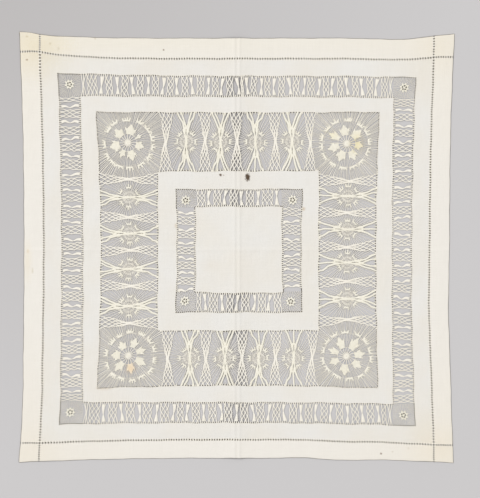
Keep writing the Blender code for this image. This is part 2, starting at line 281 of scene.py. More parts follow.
class Nodes:
    def __init__(self, name):
        self.material = bpy.data.materials.new(name)
        self.material.use_nodes = True
        self.tree = self.material.node_tree
        self.shader = self.tree.nodes["Principled BSDF"]
        self.object = self.add("TexCoord").outputs["Object"]

    def add(self, kind, **inputs):
        node = self.tree.nodes.new("ShaderNode" + kind)
        for name, value in inputs.items():
            node.inputs[name].default_value = value
        return node

    def link(self, source, target):
        self.tree.links.new(source, target)

    def vector(self, operation, first, second=None):
        node = self.add("VectorMath")
        node.operation = operation
        self.link(first, node.inputs[0])
        if second is not None:
            node.inputs[1].default_value = second
        return node.outputs["Value"] if operation == "LENGTH" else node.outputs["Vector"]

    def math(self, operation, first, second):
        node = self.add("Math")
        node.operation = operation
        self.link(first, node.inputs[0])
        self.link(second, node.inputs[1])
        return node.outputs["Value"]

    def noise(self, lumps, detail):
        # lumps is how many there are to a metre in x, y and z
        node = self.add("TexNoise", Scale=1, Detail=detail)
        self.link(self.vector("MULTIPLY", self.object, lumps), node.inputs["Vector"])
        return node.outputs["Fac"]

    def wave(self, direction, pitch):
        node = self.add("TexWave", Scale=math.tau / 20 / pitch, Distortion=0.6, Detail=0)
        node.bands_direction = direction
        self.link(self.object, node.inputs["Vector"])
        return node.outputs["Fac"]

    def spread(self, value, *limits):
        # limits are two to spread from, and two to spread to, which are 0 and 1 if left out
        node = self.add("MapRange")
        self.link(value, node.inputs["Value"])
        for name, limit in zip(("From Min", "From Max", "To Min", "To Max"), limits):
            node.inputs[name].default_value = limit
        return node.outputs["Result"]

    def mix(self, share, first, second, blend="MIX"):
        node = self.add("Mix")
        node.data_type = "RGBA"
        node.blend_type = blend
        self.link(share, node.inputs["Factor"])
        for socket, value in ((6, first), (7, second)):  # the two for colours
            if isinstance(value, tuple):
                node.inputs[socket].default_value = (*value, 1)
            else:
                self.link(value, node.inputs[socket])
        return node.outputs[2]

    def bump(self, height, strength, distance, under=None):
        node = self.add("Bump", Strength=strength, Distance=distance)
        self.link(height, node.inputs["Height"])
        if under is not None:
            self.link(under, node.inputs["Normal"])
        return node.outputs["Normal"]

    def attribute(self, name):
        node = self.add("Attribute")
        node.attribute_name = name
        return node.outputs["Fac"]

    def stain(self, colour, spot):
        x, y, halfWidth, halfHeight, strength, softness, tint = spot
        away = self.vector("SUBTRACT", self.object, (x * mm, y * mm, 0))
        away = self.vector("MULTIPLY", away, (1000 / halfWidth, 1000 / halfHeight, 0))
        ragged = self.spread(self.noise((420, 420, 1), 2), 0.3, 0.7, -0.28, 0.28)
        away = self.math("ADD", self.vector("LENGTH", away), ragged)
        share = self.spread(away, 1 + softness, max(1 - softness, 0), 0, strength)
        return self.mix(share, colour, tint, "MULTIPLY")

    def finish(self, colour, roughness, sheen=0, normal=None):
        self.link(colour, self.shader.inputs["Base Color"])
        self.shader.inputs["Roughness"].default_value = roughness
        self.shader.inputs["Sheen Weight"].default_value = sheen
        if normal is not None:
            self.link(normal, self.shader.inputs["Normal"])
        return self.material


linenLook = {
    "cool": (0.802, 0.783, 0.748),
    "warm": (0.798, 0.763, 0.702),
    "thin": (0.965, 0.965, 0.96),
    "hem": (0.835, 0.800, 0.742),
    "aged": (0.985, 0.955, 0.885),
    "weave": 0.00062,  # one thread each way, m
}
# Stains: x, y, half width and half height in mm, strength, softness, colour
linenStains = (
    (15.3, 99.4, 3.2, 5.2, 1, 0.35, (0.12, 0.08, 0.05)),
    (-23, 102.6, 1.7, 1.8, 0.95, 0.5, (0.16, 0.1, 0.07)),
    (-18.9, 102.2, 1.1, 0.9, 0.6, 0.6, (0.42, 0.34, 0.28)),
    (-103.9, 280, 1.1, 1.1, 0.8, 0.5, (0.3, 0.22, 0.16)),
    (204.6, -292.4, 1.3, 1.1, 0.85, 0.5, (0.28, 0.2, 0.15)),
    (-297.5, 265.9, 1.4, 1.2, 0.7, 0.5, (0.4, 0.3, 0.22)),
    (-297.5, 299, 1.6, 1.2, 0.45, 0.7, (0.7, 0.64, 0.5)),
    (-264.6, 288.9, 1.5, 1.3, 0.5, 0.7, (0.7, 0.64, 0.5)),
    (-252.9, 281.8, 1.3, 2, 0.45, 0.7, (0.72, 0.68, 0.55)),
    (-200.7, 296.5, 1.2, 1.4, 0.45, 0.7, (0.66, 0.6, 0.48)),
    (220.9, -289.9, 1.2, 1, 0.4, 0.7, (0.66, 0.6, 0.48)),
    (243.3, -284.9, 1.2, 1.2, 0.4, 0.7, (0.7, 0.64, 0.52)),
    (-289.5, -33.5, 1, 3, 0.45, 0.8, (0.66, 0.6, 0.44)),
    (-297, -20, 5, 20, 0.45, 0.9, (0.97, 0.9, 0.76)),
    (-296, -6, 1.6, 2.2, 0.4, 0.8, (0.88, 0.72, 0.52)),
    (-38, -25, 9, 7, 0.25, 0.9, (0.93, 0.87, 0.78)),
    (94, 54.5, 2.6, 2.2, 0.8, 0.8, (0.74, 0.62, 0.47)),
    (-85.5, 30.4, 2, 3, 0.7, 0.8, (0.78, 0.67, 0.53)),
    (-188, -200, 8, 2.4, 0.4, 0.8, (0.84, 0.74, 0.62)),
    (-284, 282, 34, 30, 0.9, 0.8, (0.965, 0.93, 0.82)),
    (-90, 292, 250, 18, 0.8, 0.9, (0.985, 0.975, 0.93)),
    (286, -284, 30, 24, 0.7, 0.9, (0.99, 0.955, 0.88)),
    (283, 280, 24, 24, 0.5, 0.9, (0.99, 0.96, 0.89)),
    (-284, -284, 22, 22, 0.4, 0.9, (0.99, 0.965, 0.9)),
)
threadLook = {
    "linen": (0.95, 0.915, 0.84),
    "needle": (0.915, 0.885, 0.785),
    "shade": (0.95, 0.935, 0.90),
    "low": (0.15, 0.125, 0.095),  # painted shade: the colour of the lower parts of threads, and of threads that lie at the floor
}
threadStains = (
    (-150.5, -171.5, 6, 7, 0.7, 0.7, (1, 0.8, 0.6)),
    (171, 147, 8, 10, 0.75, 0.9, (1, 0.93, 0.66)),
    (135, 161, 6, 6, 0.5, 0.9, (1, 0.95, 0.74)),
    (-190, -203, 9, 4, 0.5, 0.8, (0.86, 0.74, 0.6)),
)


def linenMaterial():
    n = Nodes("linenWeave")
    clouds = n.spread(n.noise((14, 14, 1), 3), 0.35, 0.65)
    colour = n.mix(clouds, linenLook["cool"], linenLook["warm"])
    colour = n.mix(n.attribute("hemShare"), colour, linenLook["hem"])
    warp = n.noise((900, 34, 1), 3)
    weft = n.noise((34, 900, 1), 3)
    slubs = n.math("ADD", warp, weft)
    colour = n.mix(n.spread(slubs, 0.75, 1.25, 1, 0), colour, linenLook["thin"], "MULTIPLY")
    away = n.vector("LENGTH", n.object)
    colour = n.mix(n.spread(away, 0.30, 0.44, 0, 0.6), colour, linenLook["aged"], "MULTIPLY")
    for spot in linenStains:
        colour = n.stain(colour, spot)
    weave = n.math("MULTIPLY", n.wave("X", linenLook["weave"]), n.wave("Y", linenLook["weave"]))
    finest = n.bump(weave, 0.35, 0.00012)
    threads = n.bump(slubs, 0.35, 0.0004, finest)
    rumples = n.bump(n.noise((70, 55, 1), 3), 0.5, 0.002, threads)
    return n.finish(colour, 0.9, 0.1, rumples)


def threadMaterial(name, tint, ribs):
    n = Nodes(name)
    strands = n.noise((1500, 1500, 900), 2)
    clouds = n.noise((60, 60, 1), 2)
    colour = n.mix(n.spread(strands, 0.35, 0.65, 1, 0), tint, threadLook["shade"], "MULTIPLY")
    colour = n.mix(n.spread(clouds, 0.4, 0.7, 0, 0.5), colour, threadLook["shade"], "MULTIPLY")
    # painted shade: the lower a spot of a thread lay as made, the darker its colour, down to the low colour
    low = n.spread(n.attribute("threadHeight"), 0.45, 0.8, 1, 0)
    colour = n.mix(low, colour, threadLook["low"], "MULTIPLY")
    for spot in threadStains:
        colour = n.stain(colour, spot)
    ribbing = n.math("MULTIPLY", n.wave("X", ribs), n.wave("Y", ribs))
    return n.finish(colour, 0.8, 0.15, n.bump(ribbing, 0.5, 0.0002, n.bump(strands, 0.5, 0.0003)))


linenWeave = linenMaterial()
drawnThread = threadMaterial("drawnThread", threadLook["linen"], 0.0006)
needleThread = threadMaterial("needleThread", threadLook["needle"], 0.0009)

cloth = {
    "pitch": 3,  # spacing of the mesh, mm
    "finePitch": 1.1,  # across the folds
    "fineZone": (-12, 10),
    "slot": 1.2,  # half the width that the hemstitching pulls open
    "under": 0.08,  # height of its underside
    "single": 0.45,  # thickness of one layer
    "doubled": 0.85,  # thickness of the hem
    "corner": 0.22,  # what a corner's overlap adds to the hem
    "rolled": 0.2,  # what the edge loses over its last mm
    "flat": (0.603, 0.595),  # finished size laid flat, m
}


def ruledStops():
    # places of the mesh lines, with one on every ruled line and closer ones at the folds
    fineFrom, fineTo = cloth["fineZone"]
    lines = {0, fineFrom, fineTo, *ruledLines} - {hemLine, -hemLine}
    for r in (hemLine - cloth["slot"], hemLine + cloth["slot"], hemLine + 3, edge - 1):
        lines |= {r, -r}
    lines = sorted(lines)
    stops = [lines[0]]
    for near, far in zip(lines, lines[1:]):
        pitch = cloth["finePitch"] if fineFrom <= near < fineTo else cloth["pitch"]
        steps = math.ceil((far - near) / pitch)
        stops += [near + (far - near) * (i + 1) / steps for i in range(steps)]
    return stops


def openWork(u, v):
    # True where the linen is drawn out, or pulled open by the hemstitching
    r = max(abs(u), abs(v))
    bands = innerIn < r < innerOut or wideIn < r < wideOut or outerIn < r < outerOut
    return bands or abs(abs(u) - hemLine) < cloth["slot"] or abs(abs(v) - hemLine) < cloth["slot"]


def clothThickness(u, v):
    r = max(abs(u), abs(v))
    share = min(max((r - hemLine) / 1.5, 0), 1)
    overlap = cloth["corner"] if min(abs(u), abs(v)) > hemLine else 0
    rolled = cloth["rolled"] * max(0, r - edge + 1)
    return cloth["single"] + (cloth["doubled"] - cloth["single"]) * share + overlap - rolled


def linenCloth():
    stops = ruledStops()
    count = len(stops) - 1
    bm = bmesh.new()
    bmesh.ops.create_grid(bm, x_segments=count, y_segments=count, size=1)
    for vert in bm.verts:
        vert.co.x = stops[round((vert.co.x + 1) / 2 * count)]
        vert.co.y = stops[round((vert.co.y + 1) / 2 * count)]
    drawn = [f for f in bm.faces if openWork(*f.calc_center_median().xy)]
    bmesh.ops.delete(bm, geom=drawn, context="FACES")
    bmesh.ops.solidify(bm, geom=bm.faces[:], thickness=1)
    middle = sum(vert.co.z for vert in bm.verts) / len(bm.verts)
    hem = bm.verts.layers.float.new("hemShare")
    for vert in bm.verts:
        u, v = vert.co.xy
        vert[hem] = min(max(abs(u) - hemLine, abs(v) - hemLine, 0), 1)
        vert.co.z = cloth["under"] + (clothThickness(u, v) if vert.co.z > middle else 0)
    bmesh.ops.recalc_face_normals(bm, faces=bm.faces)
    mesh = bpy.data.meshes.new("linenCloth")
    bm.to_mesh(mesh)
    bm.free()
    pullOntoCloth(mesh, flattened=False)
    piece = addPiece("linenCloth", mesh, linenWeave)
    mesh.set_sharp_from_angle(angle=math.radians(45))
    area = sum(f.area for f in mesh.polygons) / 2
    print("linenCloth", len(mesh.polygons) * 2, "triangles, area", round(area, 4))
    return piece


stitching = {
    "pitch": 3.5,  # mm, as the rest
    "crossing": 0.4,  # half the gap where the lines of the hem cross
    "reach": 2.1,  # how far a stitch goes to either side
    "end": 1.1,  # half widths of a stitch
    "waist": 1.02,
    "shadeSewing": 0.4,  # half the thickness of the low thread, dark with painted shade, that runs along underneath
    "lines": (-0.75, 0, 0.75),  # how that thread lies about the hem line
    "inset": 0.7,  # and from the edge of a band
    "step": 9,
}


def shadeSewingThread(side, line, reach):
    # a low sewing thread along a ruled line, dark with painted shade: it stands for the shade in the holes
    # between the bundles
    count = round(2 * reach / stitching["step"])
    spots = [-reach + 2 * reach * i / count for i in range(count + 1)]
    return sideStrand(side, [(along, line, 0, stitching["shadeSewing"]) for along in spots])


# painted shade: dark low threads along both edges of a band
def bandShadeSewing(side, inner, outer):
    near, far = inner + stitching["inset"], outer - stitching["inset"]
    return [shadeSewingThread(side, near, inner), shadeSewingThread(side, far, outer)]


def stitchPlaces():
    # along a side in three runs, which leave one hole at each crossing of the hem's lines
    gap = stitching["crossing"]
    stops = (-edge, -hemLine - gap, -hemLine + gap, hemLine - gap, hemLine + gap, edge)
    for start, end in zip(stops[::2], stops[1::2]):
        count = round((end - start) / stitching["pitch"])
        yield from (start + (end - start) * (i + 0.5) / count for i in range(count))


def hemStitching():
    # painted shade: a dark thread just outside the cloth's edge shades its outline; the others lie along
    # the hem line
    strands = [shadeSewingThread(side, edge + 0.2, edge) for side in sides]
    strands += [shadeSewingThread(side, hemLine + s, edge - 1) for side in sides for s in stitching["lines"]]
    for side in sides:
        for along in stitchPlaces():
            skew = vary(-0.15, 0.15)
            thick = vary(0.85, 1.15)
            strands.append(sideStrand(side, (
                (along - skew, hemLine - stitching["reach"], 0.6, stitching["end"] * 0.4),
                (along - skew, hemLine - cloth["slot"], 1, stitching["end"]),
                (along, hemLine, 1.25, stitching["waist"] * thick),
                (along + skew, hemLine + cloth["slot"], 1.3, stitching["end"]),
                (along + skew, hemLine + stitching["reach"], 1.1, stitching["end"] * 0.4),
            )))
    return strandPiece("hemStitching", strands, drawnThread)


# Woven bow ties in runs, by the inner line of their band and their side: first, step, count
bowTieRuns = {
    outerIn: {
        "top": ((-186.9, 20.23, 7), (-43.5, 20.5, 3), (11.8, 19.5, 5), (112.6, 19.52, 5)),
        "bottom": ((-184.5, 23.28, 5), (-71.2, 22.53, 8), (109.9, 21.24, 5)),
        "left": ((-198.8, 24.05, 9), (15.2, 23.67, 5), (135.8, 22.71, 4)),
        "right": ((-198.4, 22.05, 6), (-67.2, 22.42, 7), (91.2, 21.19, 6)),
    },
    innerIn: {
        "top": ((-41, 22.5, 3), (26.6, 27.2, 2)),
        "bottom": ((-47.2, 24.4, 2), (-2.2, 22.5, 3)),
        "left": ((-56.2, 21.94, 4), (29.4, 23.6, 2)),
        "right": ((-52.2, 22.25, 3), (15.6, 25.9, 2)),
    },
}
bowTie = {
    "end": 3.1,  # half widths, mm
    "waist": 0.85,
    "level": 0.7,  # share of the end's width in those at the left and right
    "edge": 0.62,  # half the thickness of the thread along each edge
    "feet": (-3.05, 0, 3.05),
    "shares": (0.1, 0.15, 0.22, 0.3, 0.4, 0.5, 0.6, 0.7, 0.78, 0.85, 0.9),
    "lean": 3.6,
    "bend": 2.1,
    "sag": 1.5,  # how far those at the left and right swing up and down
}
bundle = {
    "pitch": 3.05,  # one bundle of drawn threads to the next, mm
    "foot": 0.9,  # half width where it leaves the linen
    "thick": 0.74,  # half its thickness
    "knot": 0.95,  # half the thickness of a knot
    "apart": 0.5,  # between bundles that are tied together
}
narrow = {
    "spread": 0.86,  # share of its full width that a lattice keeps at the middle of the band
    "pitch": 2.6,  # one bundle of a lattice to the next
    "cross": 8.4,  # width of the open cross beside a corner
    "corner": 1.2,  # from a corner to the first bundle
    "tuck": 0.7,  # how far a lattice spreads beyond its space
    "least": (4, 15),  # the least space for a lattice, and for a cross and a lattice
    "rows": (  # share of the band's height, bundles in a knot, shift of the first knot
        ((0.17, 2, 1), (0.34, 2, 0), (0.52, 2, 1), (0.69, 2, 0), (0.85, 2, 1)),
        ((0.2, 2, 0), (0.36, 2, 1), (0.5, 2, 0), (0.64, 2, 1), (0.8, 2, 0)),
        ((0.14, 2, 1), (0.28, 2, 0), (0.42, 2, 1), (0.57, 2, 0), (0.72, 2, 1), (0.87, 2, 0)),
        ((0.16, 2, 0), (0.33, 2, 1), (0.5, 2, 0), (0.66, 2, 1), (0.84, 2, 0)),
    ),
    "crossRows": ((0.3, 2, 0), (0.5, 3, 0), (0.7, 2, 1)),
}


def foot(side, along, line, inward, lean=0):
    # a bundle spreads where it leaves the linen: inward is 1 or -1
    return sideStrand(side, (
        (along, line - 0.4 * inward, 0.7, bundle["foot"]),
        (along, line + 0.5 * inward, 0.8, bundle["foot"] * 0.86),
        (along + lean, line + 2.6 * inward, 0.85, bundle["thick"] * 0.9),
    ))


def bowTieStrands(side, along, inner, outer):
    lean = vary(-1, 1) * bowTie["lean"]
    bend = vary(-bowTie["bend"], bowTie["bend"])
    sag = bowTie["sag"] * vary(0.6, 1.2) if side in ("left", "right") else 0
    waistAt = vary(0.42, 0.6)
    full = bowTie["end"] * (bowTie["level"] if sag else 1)
    ends = (full * vary(0.85, 1.1), full * vary(0.85, 1.1))
    woven, edges = [], ([], [])
    for share in bowTie["shares"]:
        height = inner + (outer - inner) * share
        below = share < waistAt
        away = (waistAt - share) / waistAt if below else (share - waistAt) / (1 - waistAt)
        half = bowTie["waist"] + (ends[0 if below else 1] - bowTie["waist"]) * away ** 1.5
        middle = along + lean * math.cos(math.pi * share) * 0.5 + bend * math.sin(math.pi * share)
        middle -= sag * math.cos(4 * math.pi * share) * math.sin(math.pi * share) + 0.5 * sag
        woven.append((middle, height, 0.72, half * 0.8))
        turn = math.tanh((share - waistAt) * 9)
        for line, way in zip(edges, (-1, 1)):
            lift = 0.14 * way * (1 - away)  # one edge passes over the other at the waist
            line.append((middle + way * turn * half * 0.9, height, 0.85 + lift, bowTie["edge"]))
    strands = [sideStrand(side, woven)] + [sideStrand(side, line) for line in edges]
    for shift in bowTie["feet"]:
        strands.append(foot(side, along + shift, inner, 1, -0.12 * shift))
        strands.append(foot(side, along + shift, outer, -1, -0.12 * shift))
    return strands


def netStrands(side, middle, inner, outer, count, rows, halfWidth, thick, knot, sway):
    # bundles tied together in turn along rows
    strands = []
    sway *= vary(-1, 1)
    bend = vary(0.8, 2)
    step = 2 * halfWidth(0) / (count - 1)
    starts = [middle + (i - (count - 1) / 2) * step for i in range(count)]
    end, near = bundle["foot"], bundle["foot"] * 0.84
    lines = [[(along, inner - 0.4, 0.7, end), (along, inner + 0.6, 0.8, near)] for along in starts]
    for share, tie, shifted in rows:
        height = inner + (outer - inner) * share + vary(-0.5, 0.5)
        half = halfWidth(share)
        shift = sway * math.sin(math.tau * share / bend) + vary(-0.5, 0.5)
        for k in range((count - 1 + shifted) // tie + 1):
            members = [i for i in range(count) if (i + shifted) // tie == k]
            centre = middle + shift + half * (2 * sum(members) / len(members) / (count - 1) - 1)
            for n, i in enumerate(members):
                apart = (n - (len(members) - 1) / 2) * bundle["apart"]
                lines[i].append((centre + apart, height, 0.78 + 0.1 * (-1) ** i, thick))
            if len(members) > 1:
                size = knot + 0.12 * (len(members) - 2)
                strands.append(sideStrand(side, (
                    (centre, height - 0.9, 0.75, size * 0.6),
                    (centre, height, 0.88, size),
                    (centre, height + 0.9, 0.75, size * 0.6),
                )))
    for line, along in zip(lines, starts):
        line += [(along, outer - 0.6, 0.8, near), (along, outer + 0.4, 0.7, end)]
    return strands + [sideStrand(side, line) for line in lines]


def narrowLattice(side, start, end, inner, outer, rows, spread):
    count = min(max(round((end - start) / narrow["pitch"]), 3), 6)
    half = (end - start) / 2 - narrow["pitch"] / 2 + narrow["tuck"]
    return netStrands(
        side, (start + end) / 2, inner, outer, count, rows,
        lambda share: half * (spread + (1 - spread) * abs(2 * share - 1)),
        bundle["thick"], bundle["knot"], 0.9,
    )


def tiePlaces(side, inner):
    runs = bowTieRuns[inner][side]
    return sorted(first + i * step for first, step, count in runs for i in range(count))


def narrowBand(name, inner, outer):
    strands = []
    reach = 1.5 * bundle["pitch"] + 0.2  # half the room of a bow tie, which ties three bundles
    corner = inner - narrow["corner"]
    least, roomy = narrow["least"]
    for side in sides:
        strands += bandShadeSewing(side, inner, outer)
        ties = tiePlaces(side, inner)
        for along in ties:
            strands += bowTieStrands(side, along, inner, outer)
        spaces = [(a + reach, b - reach) for a, b in zip(ties, ties[1:])]
        for ends in ((-corner, ties[0] - reach), (ties[-1] + reach, corner)):
            if ends[1] - ends[0] < roomy:
                spaces.append(ends)
                continue
            # room for an open cross beside the corner, then a lattice
            atStart = ends[0] == -corner
            split = ends[0] + narrow["cross"] if atStart else ends[1] - narrow["cross"]
            cross = (ends[0], split) if atStart else (split, ends[1])
            spaces.append((split, ends[1]) if atStart else (ends[0], split))
            strands += narrowLattice(side, *cross, inner, outer, narrow["crossRows"], 0.15)
        for start, end in spaces:
            if end - start > least:
                rows = chance.choice(narrow["rows"])
                strands += narrowLattice(side, start, end, inner, outer, rows, narrow["spread"])
    return strandPiece(name, strands, drawnThread, 1)


# Along the wide band, lattices and woven trunks in turn: side, their places
trunkRuns = (
    ("top", (-101.4, -73.6, -47.7, -25.8, -2.8, 23.4, 50.6, 74, 99)),
    ("bottom", (-98.1, -68.3, -46.8, -19.4, 3.4, 27.5, 51.1, 76.4, 102.5)),
    ("left", (-102.2, -79.4, -52.4, -27.8, -2.3, 22.1, 46.1, 74.9, 102.7)),
    ("right", (-99.2, -70, -45.6, -18.9, 4.4, 28.7, 51.9, 77.1, 98.8)),
)
wide = {
    "half": (wideOut - wideIn) / 2,
    "bundles": 6,
    "thick": 0.8,  # half the thickness of a bundle
    "knot": 1.05,
    "loose": 11.7,  # from the middle of a lattice to the loose bundle beside it
    # a lattice's outline: height from the middle of the band, half width
    "outline": ((0, 0), (5, 2), (10, 3.3), (17, 4.6), (24, 6), (33, 7), (41, 8.8)),
    "rows": (  # height from the middle of the band, bundles in a knot, shift of the first knot
        (-37, 2, 1), (-32.5, 2, 0), (-28, 2, 1), (-23.5, 2, 0), (-19, 2, 1), (-14.5, 2, 0),
        (-10, 2, 1), (-5.5, 3, 0), (0, 6, 0), (5.5, 3, 0), (10, 2, 1), (14.5, 2, 0),
        (19, 2, 1), (23.5, 2, 0), (28, 2, 1), (32.5, 2, 0), (37, 2, 1),
    ),
    "barEnd": 11.6,  # half the spread of a trunk's bars at the edge of the band
    "bar": 1.38,  # half the thickness of a bar
    "feet": 7,
    "shoulder": (15, 19.5),  # height of a trunk's shoulder, least and most
    "fork": (3.5, 7),  # from there to where its inner legs part
    "ring": 8.2,  # distances from the middle of a rosette
    "prong": 12.7,
    "prongTurns": (-52, 0, 52),
    "prongLength": 6.6,
    "prongThick": 1.05,
    "prongTall": 5,
    "spikes": (2, 3, 3),
    "webFrom": (2.4, 6),
    "web": 0.36,  # half the thickness of the needle thread
    "webTurn": 7.2,  # degrees from one web thread to the next
}


def latticeHalf(height):
    heights = [h for h, _ in wide["outline"]]
    return float(np.interp(abs(height), heights, [w for _, w in wide["outline"]])) + 0.9


def wideLattice(side, middle):
    # the waist of each lattice lies a little above or below the middle of the band
    waist = vary(-2.5, 2.5)
    size = 2 * wide["half"]
    rows = []
    for height, tie, shifted in wide["rows"]:
        moved = height + waist * (1 - abs(height) / wide["half"])
        rows.append((moved / size + 0.5, tie, shifted))
    return netStrands(
        side, middle, wideIn, wideOut, wide["bundles"], rows,
        lambda share: latticeHalf((share - 0.5) * size - waist * (1 - abs(2 * share - 1))) - 0.7,
        wide["thick"], wide["knot"], 1.2,
    )


def barStrand(side, middle, way, spots):
    return sideStrand(side, [(middle + a, wideMiddle + way * h, 0.8, r) for a, h, r in spots])


def trunkStrands(side, middle):
    # a woven trunk: two halves with a slit between them, and bars that spread to both edges
    strands = []
    lean = vary(-0.8, 0.8)
    halves = {-1: [], 1: []}
    top = wide["half"] + 0.3
    for way in (-1, 1):
        shoulder = vary(*wide["shoulder"])
        fork = shoulder + vary(*wide["fork"])
        spread = wide["barEnd"] + vary(-0.8, 0.8)
        bar = wide["bar"]
        for sidewards in (-1, 1):
            wave = vary(-0.9, 0.9)
            strands.append(barStrand(side, middle, way, (
                (sidewards * spread, top, 0.9), (sidewards * spread * 0.93, top - 2, bar * 0.9),
                (sidewards * (spread * 0.7 + 0.6) + wave, top - 7.5, bar),
                (sidewards * (spread * 0.34 + 1.4) - wave, (top + shoulder) / 2 - 2.5, bar),
                (sidewards * 2.7 + lean, shoulder, bar * 1.25), (sidewards * 1.6 + lean, shoulder - 7, bar),
            )))
            halves[sidewards] += [(sidewards * a + lean * h / shoulder, way * h, r) for h, a, r in (
                (shoulder + 2.5, 1.1, 1), (shoulder - 0.5, 2.4, 2.4), (shoulder - 3.5, 2.2, 2.3),
                (shoulder - 6, 1.6, 1.1), (shoulder - 11, 0.9, 1.1),
            )]
        inner = chance.choice((1, 2, 2))
        for i in range(inner):
            wave = vary(-1.3, 1.3)
            start = (i - (inner - 1) / 2) * spread * 1.1 / max(inner - 1, 1) + wave
            strands.append(barStrand(side, middle, way, (
                (start, top, 0.9), (start * 0.92, top - 2, bar * 0.85),
                (start * 0.6 - wave, (top + fork) / 2, bar * 0.95), (start * 0.16, fork, bar),
                (start * 0.05 + lean, shoulder, bar),
            )))
        for i in range(wide["feet"]):
            along = (i - (wide["feet"] - 1) / 2) * 2 * wide["barEnd"] / (wide["feet"] - 1)
            strands.append(barStrand(side, middle, way, (
                (along, top, bundle["foot"]), (along * 0.99, top - 1.2, bundle["foot"] * 0.8),
                (along * 0.97, top - 2.8, 0.45), (along * 0.94, top - 4.2, 0.3),
            )))
    for sidewards, line in halves.items():
        line.append((sidewards * 0.75, 0, 1.15))
        line.sort(key=lambda spot: spot[1])
        strands.append(sideStrand(side, [(middle + a, wideMiddle + h, 0.82, r) for a, h, r in line]))
    return strands


def prongStrands(middle, distance, angle, length, spikes, thick, tall):
    # a short woven bar across the web, with spikes pointing outwards
    halfTurn = math.degrees(length / 2 / distance)
    bar = ((-1, 0.55, -0.3), (-0.55, 1, 0.1), (0, 1.15, 0.4), (0.55, 1, 0.1), (1, 0.55, -0.3))
    across = [(distance + bow, angle + halfTurn * s, w) for s, w, bow in bar]
    strands = [[(*around(middle, r, turn), 0.85, thick * w) for r, turn, w in across]]
    for i in range(spikes):
        s = 2 * i / (spikes - 1) - 1
        turn = angle + halfTurn * s * 0.75
        reach = distance + tall * (1 - 0.22 * abs(s)) * vary(0.85, 1.15)
        strands.append([
            (*around(middle, distance, turn), 0.9, thick * 0.95),
            (*around(middle, (distance + reach) / 2, turn + 1.2 * s), 0.9, thick * 0.8),
            (*around(middle, reach, turn + 2.6 * s), 0.85, thick * 0.45),
        ])
    return strands


def ringStrand(middle, distance, thick, height=0.8, steps=24):
    return [(*around(middle, distance, 360 * i / steps), height, thick) for i in range(steps + 1)]


def rosetteProngs(side, middle):
    centre = onSide(side, middle, wideMiddle)
    level = 90 if side in ("left", "right") else 0
    strands = []
    for way in (0, 180):
        for lean in wide["prongTurns"]:
            angle = level + way + lean + vary(-6, 6)
            distance = wide["prong"] + vary(-0.9, 0.9)
            spikes = chance.choice(wide["spikes"])
            strands += prongStrands(
                centre, distance, angle, wide["prongLength"], spikes, wide["prongThick"], wide["prongTall"],
            )
    return strands


def polar(middle, distance, turn):
    return middle[0] + distance * math.cos(turn), middle[1] + distance * math.sin(turn)


def threadReach(middle, turn, start, inside):
    # how far a needle thread runs from a middle before it meets linen or a lattice
    reach = start
    while inside(*polar(middle, reach, turn)):
        reach += 0.5
    return reach


def webThread(middle, turn, start, end, thick):
    bow = vary(-0.5, 0.5) / max(end, 1)
    spots = [(start, 0), ((start + end) / 2, bow), (end - 1.2, 0.3 * bow), (end + 0.4, 0)]
    widths = (thick, thick, thick, thick * 1.7)
    return [(*polar(middle, r, turn + t), 0.8, w) for (r, t), w in zip(spots, widths)]


def rosetteWeb(side, middle, before, after):
    # fine needle threads from the rosette's ring out to the lattices and the edges of the band
    def inside(along, height):
        if abs(height) > wide["half"]:
            return False
        room = (after if along > 0 else before) - latticeHalf(height)
        above = abs(height) - wide["shoulder"][0]
        trunk = 2 if above < 0 else 3.5 + above * 0.32  # half its width, more over the shoulder
        return trunk < abs(along) < room

    strands = [[(*polar((0, 0), wide["ring"], math.tau * i / 24), 0.8, 0.3) for i in range(25)]]
    for i in range(round(360 / wide["webTurn"])):
        turn = math.radians(i * wide["webTurn"] + vary(-1.3, 1.3))
        reach = threadReach((0, 0), turn, wide["ring"], inside)
        if reach > wide["ring"] + 3:
            strands.append(webThread((0, 0), turn, wide["webFrom"][i % 2], reach, wide["web"]))
    moved = [[(middle + a, wideMiddle + h, z, r) for a, h, z, r in line] for line in strands]
    return [sideStrand(side, line) for line in moved]


def wideBand():
    lattices, trunks, web = [], [], []
    for side, places in trunkRuns:
        lattices += bandShadeSewing(side, wideIn, wideOut)
        for i, middle in enumerate(places):
            if i % 2:
                trunks += trunkStrands(side, middle)
                trunks += rosetteProngs(side, middle)
                web += rosetteWeb(side, middle, middle - places[i - 1], places[i + 1] - middle)
                continue
            lattices += wideLattice(side, middle)
            for along in (middle - wide["loose"], middle + wide["loose"]):
                if abs(along) < wideIn - 1:
                    web.append(foot(side, along, wideIn, 1))
                    web.append(foot(side, along, wideOut, -1))
    return [
        strandPiece("wideLattices", lattices, drawnThread, 1),
        strandPiece("wideTrunks", trunks, needleThread, 1),
        strandPiece("rosetteWeb", web, drawnThread),
    ]


